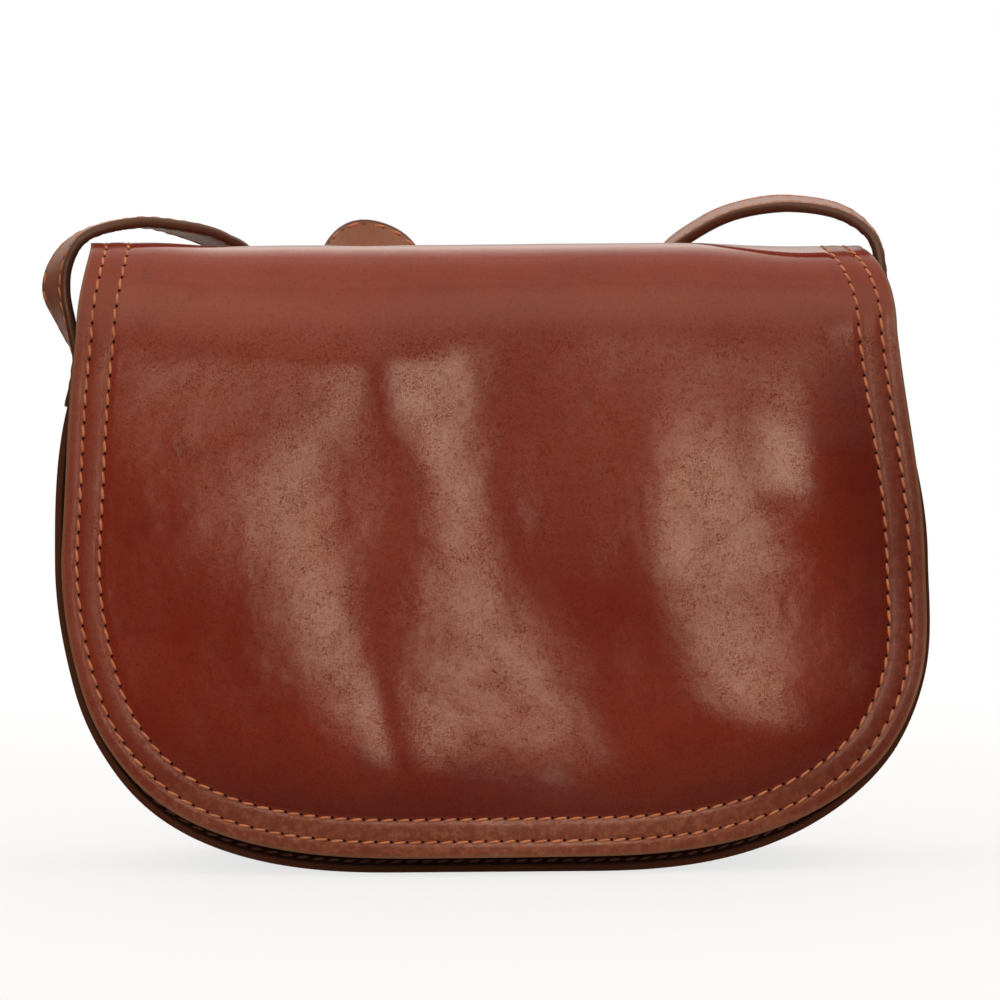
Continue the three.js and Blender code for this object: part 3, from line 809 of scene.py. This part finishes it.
def gussetProfile(share, height):  # from the front lip's end to the back's: inset, place across, shortfall
    recess = gussetForm["recess"] * ease(gussetForm["recessFrom"], gussetForm["recessFull"], height)
    climb = (height - gussetForm["dipFrom"]) / (gussetForm["dipTo"] - gussetForm["dipFrom"])
    dip = gussetForm["dip"] * math.sin(math.pi * min(1.0, max(0.0, climb))) ** 2
    fold, side = gussetForm["fold"], -1 if share < 0.5 else 1
    web, turned = gussetGrid["webShare"], gussetGrid["foldShare"]
    way = abs(share - 0.5) * 2  # 0 the middle of the web, 1 a lip's end
    if way < web:
        across = way / web
        return recess + dip * (1 - across ** 2), side * across, fold
    if way < turned:
        turn = (way - web) / (turned - web) * math.pi / 2
        return recess + fold - fold * math.cos(turn), side, fold * (1 - math.sin(turn))
    return between(recess + fold, gussetForm["lip"], (way - turned) / (1 - turned)), side, 0.0


def makeGusset():
    bm = bmesh.new()
    bmesh.ops.create_grid(bm, x_segments=gussetGrid["profileSteps"], y_segments=gussetGrid["steps"], size=1)
    distance = bm.verts.layers.float.new("edgeDistance")
    nudge, (rippleX, rippleAcross, rippleZ) = gussetGrid["nudge"], gussetForm["rippleSize"]
    for vert in bm.verts:
        share, along = (vert.co.x + 1) / 2, vert.co.y
        rim = bodyRim(along)
        run = (bodyRim(min(1, along + nudge)) - bodyRim(max(-1, along - nudge))).normalized()
        inset, across, short = gussetProfile(share, rim.y)
        if abs(across) < 1:
            ripple = noise.noise(Vector((rim.x / rippleX, across * rippleAcross, rim.y / rippleZ)))
            inset += gussetForm["ripple"] * ripple * (1 - across ** 2)
        z = rim.y + inset * run.x
        lip = halfDepth(z) - gussetForm["gap"] - short
        vert.co = (rim.x - inset * run.y, across * lip, z)
        vert[distance] = gussetGrid["edgeDistance"]
    finishes = (gussetLeather, roughBack, brownEdge)
    gusset = makePiece("gusset_leather", bm, finishes, "gusset")
    thicken(gusset, gussetForm["thickness"], gussetForm["rounding"])


makeGusset()

# Strap: two layers sewn together, laid in two loops behind the bag
strapForm = dict(width=16, thickness=3.6, corner=1.45, groove=0.22, grooveHalf=0.9, row=2.2, endRound=3.0)
strapGrid = dict(spacing=1.6, around=52, faceShare=0.6, fineSteps=6000, nudge=0.0002,
                 least=1e-4, merge=0.001)
strapRoute = (  # x, y, z, and the direction from the front edge to the back edge
    (-137.1, 0, 149, 0, 1, 0), (-135.1, 0, 156.5, 0, 1, 0), (-134, 0, 164, 0, 1, 0),
    (-138, 0, 176.5, -0.3, 0.95, 0), (-141.2, 0, 187.5, -0.52, 0.85, 0),
    (-139.2, 0.5, 196.5, -0.42, 0.9, 0), (-132.6, 1.2, 204.4, -0.2, 0.97, 0),
    (-115, 6, 209, 0, 1, 0), (-101.5, 11, 207.2, 0, 0.98, -0.15),
    (-90, 18, 203.2, 0.05, 0.95, -0.3), (-80.5, 29, 195, 0.05, 0.92, -0.35), (-77, 38.5, 174, 0, 1, -0.1),
    (-81, 41.5, 125, 0, 1, 0), (-88, 45, 66, 0, 1, 0), (-88, 47, 22, 0, 1, 0), (-71, 48, 2.4, 0, 1, 0),
    (-54, 47, 22, 0, 1, 0), (-50, 45, 66, 0, 1, 0), (-52, 41.5, 125, 0, 1, 0), (-55, 38.5, 172, 0, 1, 0.1),
    (-53.5, 31, 194, -0.1, 0.7, 0.6), (-44, 28.5, 202.3, 0, 0.5, 0.87), (-32, 29.5, 199.6, 0.15, 0.55, 0.8),
    (-20.5, 35, 186.5, 0.1, 0.85, 0.4), (-13, 39, 166, 0, 1, 0.1), (-5, 41.5, 122, 0, 1, 0),
    (3, 45.5, 66, 0, 1, 0), (7, 47, 22, 0, 1, 0), (25, 48, 2.4, 0, 1, 0), (43, 47, 22, 0, 1, 0),
    (48, 45.5, 66, 0, 1, 0), (49, 41.5, 125, 0, 1, 0), (50.5, 39, 170, 0, 1, 0.05),
    (56.5, 31, 195, 0, 0.97, 0.15), (69.6, 21, 206.3, 0, 0.98, 0.17), (82.6, 15, 211.8, 0, 0.98, 0.17),
    (98.7, 9, 213.6, 0, 0.98, 0.17), (115.7, 5, 210.2, 0.05, 0.98, 0.15), (125.2, 2, 202, 0.05, 0.99, 0.05),
    (127.8, 0.5, 190, 0.05, 0.99, 0), (128.4, 0, 177, 0.04, 1, 0), (129, 0, 164, 0, 1, 0),
    (131.1, 0, 156.5, 0, 1, 0), (133.1, 0, 149, 0, 1, 0))


def smoothThrough(points, share):  # a curve through the points, evenly shared between them
    place = min(share, 1.0) * (len(points) - 1)
    i = min(int(place), len(points) - 2)
    t = place - i
    second, third = points[i], points[i + 1]
    first = points[i - 1] if i else second * 2 - third
    fourth = points[i + 2] if i + 2 < len(points) else third * 2 - second
    pairs = ((first, second), (second, third), (third, fourth))
    before, here, after = (math.sqrt((end - start).length) for start, end in pairs)
    here = here if here > strapGrid["least"] else 1.0
    before = before if before > strapGrid["least"] else here
    after = after if after > strapGrid["least"] else here
    step = (third - second) / here
    lead = ((second - first) / before - (third - first) / (before + here) + step) * here
    tail = (step - (fourth - second) / (here + after) + (fourth - third) / after) * here
    square = third * 3 - second * 3 - lead * 2 - tail
    cube = second * 2 - third * 2 + lead + tail
    return second + lead * t + square * t ** 2 + cube * t ** 3


def layStrap():  # evenly spaced places along the strap: length, middle, run, edge and face directions
    middles = [Vector(row[:3]) for row in strapRoute]
    edges = [Vector(row[3:]) for row in strapRoute]
    fine = [k / strapGrid["fineSteps"] for k in range(strapGrid["fineSteps"] + 1)]
    lengths = runLengths([smoothThrough(middles, share) for share in fine])
    total, nudge = lengths[-1], strapGrid["nudge"]
    count = round(total / strapGrid["spacing"])
    laid = []
    for k in range(count + 1):
        length = total * k / count
        i = stretchAt(lengths, length)
        share = between(fine[i], fine[i + 1], (length - lengths[i]) / (lengths[i + 1] - lengths[i]))
        ahead, behind = (smoothThrough(middles, s) for s in (min(1, share + nudge), max(0, share - nudge)))
        run = (ahead - behind).normalized()
        edge = smoothThrough(edges, share)
        edge = (edge - run * edge.dot(run)).normalized()
        laid.append((length, smoothThrough(middles, share), run, edge, run.cross(edge)))
    return laid, total


def strapSection(turn, squeeze):  # one round of the section: place across and out, distance from the edge
    half, thick, corner = strapForm["width"] / 2 * squeeze, strapForm["thickness"] / 2, strapForm["corner"]
    flat = strapGrid["faceShare"]
    face, side = (turn * 2) % 1.0, 1 if turn < 0.5 else -1
    if face < flat:  # a face, from one edge to the other
        across = between(-half + corner, half - corner, face / flat)
        rowAway = abs(abs(across) - (half - strapForm["row"]))
        out = thick - strapForm["groove"] * math.exp(-(rowAway / strapForm["grooveHalf"]) ** 2)
        return side * across, side * out, half - abs(across)
    way = (face - flat) / (1 - flat) * 2 - 1  # round an edge, from -1 to 1
    if abs(way) > 0.5:
        angle = (1 - (abs(way) - 0.5) * 2) * math.pi / 2
        across = half - corner + corner * math.sin(angle)
        out = math.copysign(thick - corner + corner * math.cos(angle), -way)
    else:
        across = half
        out = -way * 2 * (thick - corner)
    return side * across, side * out, 0.0


def strapStitches(laid, total):  # along both edges, on both faces
    starts, places = [spot[0] for spot in laid], []
    for middle in stitchMiddles(total):
        length, centre, run, edge, face = laid[bisect.bisect_left(starts, middle)]
        for side in (-1, 1):
            for layer in (-1, 1):
                across = side * (strapForm["width"] / 2 - strapForm["row"])
                out = layer * (strapForm["thickness"] / 2 - strapForm["groove"])
                places.append(stitchPlace(centre + edge * across + face * out, run, face * layer))
    return places


def makeStrap():
    laid, total = layStrap()
    count, endRound = len(laid) - 1, strapForm["endRound"]
    bm = bmesh.new()
    bmesh.ops.create_grid(bm, x_segments=strapGrid["around"], y_segments=count, size=1)
    distance = bm.verts.layers.float.new("edgeDistance")
    along = bm.verts.layers.float.new("outerRow")
    for vert in bm.verts:
        length, centre, run, edge, face = laid[round((vert.co.y + 1) / 2 * count)]
        lack = max(0.0, endRound - min(length, total - length))
        squeeze = 1 - (endRound - math.sqrt(endRound ** 2 - lack ** 2)) / (strapForm["width"] / 2)
        across, out, away = strapSection((vert.co.x + 1) / 2 % 1.0, squeeze)
        vert.co = centre + edge * across + face * out
        vert[distance], vert[along] = away, length
    bmesh.ops.remove_doubles(bm, verts=bm.verts, dist=strapGrid["merge"])
    bmesh.ops.holes_fill(bm, edges=[edge for edge in bm.edges if edge.is_boundary], sides=0)
    bmesh.ops.recalc_face_normals(bm, faces=bm.faces)
    makePiece("strap_leather", bm, (strapLeather,), "strap")
    sewStitches("strap_stitches", strapStitches(laid, total), orangeThread)


makeStrap()

# Floor and light
floorForm = dict(half=0.8, colour=rgb(0.95, 0.95, 0.94), rough=0.9, cover=0.25, fadeFrom=0.15, fadeTo=0.75)
skyForm = dict(domeLow=0.05, domeHigh=1.15, domeStart=0.12, domeFull=0.52, zenithFrom=0.7, zenith=0.55,
               wall=0.5, wallStart=0.6, wallFull=0.92, backdrop=1.0, tone=rgb(1, 0.94, 0.86))
softWindows = (  # middle and half width aside, low and high edge, as slopes from the front, and brightness
    (-0.184, 0.107, -0.023, 0.265, 4.6), (0.205, 0.111, 0.019, 0.335, 4.9))
windowForm = dict(feather=0.08, topFeather=0.13, frontFrom=0.2, frontFull=0.4)
topBox = dict(place=(0, -0.1, 1.5), width=1.2, brightness=0.15)


def layFloor():
    bm = bmesh.new()
    bmesh.ops.create_grid(bm, x_segments=2, y_segments=2, size=floorForm["half"])
    mesh = bpy.data.meshes.new("floor")
    bm.to_mesh(mesh)
    bm.free()
    floor = bpy.data.objects.new("floor", mesh)
    bpy.context.scene.collection.objects.link(floor)
    paper = Finish(bpy.data.materials.new("paper"))
    away = paper.node("ShaderNodeVectorMath", {"operation": "LENGTH"}, {0: paper.place()}, "Value")
    fadeFrom, fadeTo, cover = floorForm["fadeFrom"], floorForm["fadeTo"], floorForm["cover"]
    fade = paper.ramp(away, fadeFrom, fadeTo, cover, 0.0)  # into the white beyond
    paper.shade(Base_Color=floorForm["colour"], Roughness=floorForm["rough"], Alpha=fade)
    mesh.materials.append(paper.owner)


def hangTopBox():
    data = bpy.data.lights.new("topBox", "AREA")
    data.size = topBox["width"]
    data.energy = topBox["brightness"] * math.pi * topBox["width"] ** 2
    lamp = bpy.data.objects.new("topBox", data)
    lamp.location = topBox["place"]
    bpy.context.scene.collection.objects.link(lamp)


def softWindow(sky, front, aside, above, window):  # a bright pane with feathered edges, before the bag
    middle, half, low, high, brightness = window
    soft, softer = windowForm["feather"], windowForm["topFeather"]
    pane = sky.ramp(front, windowForm["frontFrom"], windowForm["frontFull"], 0.0, brightness)
    pane = pane * sky.ramp(aside / front, middle - half - soft, middle - half + soft)
    pane = pane * sky.ramp(aside / front, middle + half - soft, middle + half + soft, 1.0, 0.0)
    pane = pane * sky.ramp(above / front, low - soft, low + soft)
    return pane * sky.ramp(above / front, high - softer, high + softer, 1.0, 0.0)


def lightSky():
    bpy.context.scene.world = bpy.data.worlds.new("studio")
    sky = Finish(bpy.context.scene.world, "Background")
    heading = sky.node("ShaderNodeTexCoord", {}, {}, "Generated")
    aside, back, above = (sky.part(heading, axis) for axis in "XYZ")
    domeStart, domeFull = skyForm["domeStart"], skyForm["domeFull"]
    light = sky.ramp(above, domeStart, domeFull, skyForm["domeLow"], skyForm["domeHigh"])
    light = light * sky.ramp(above, skyForm["zenithFrom"], 1.0, 1.0, skyForm["zenith"])
    light = light + sky.ramp(back, skyForm["wallStart"], skyForm["wallFull"], 0.0, skyForm["wall"])
    front = 0 - back
    for window in softWindows:
        light = light + softWindow(sky, front, aside, above, window)
    seen = sky.node("ShaderNodeLightPath", {}, {}, "Is Camera Ray")
    sky.shade(Color=sky.mix(seen, skyForm["tone"], rgb(1, 1, 1)))
    sky.shade(Strength=light + (skyForm["backdrop"] - light) * seen)


layFloor()
hangTopBox()
lightSky()
bpy.context.scene.view_settings.view_transform = "Standard"
print("stage lit")
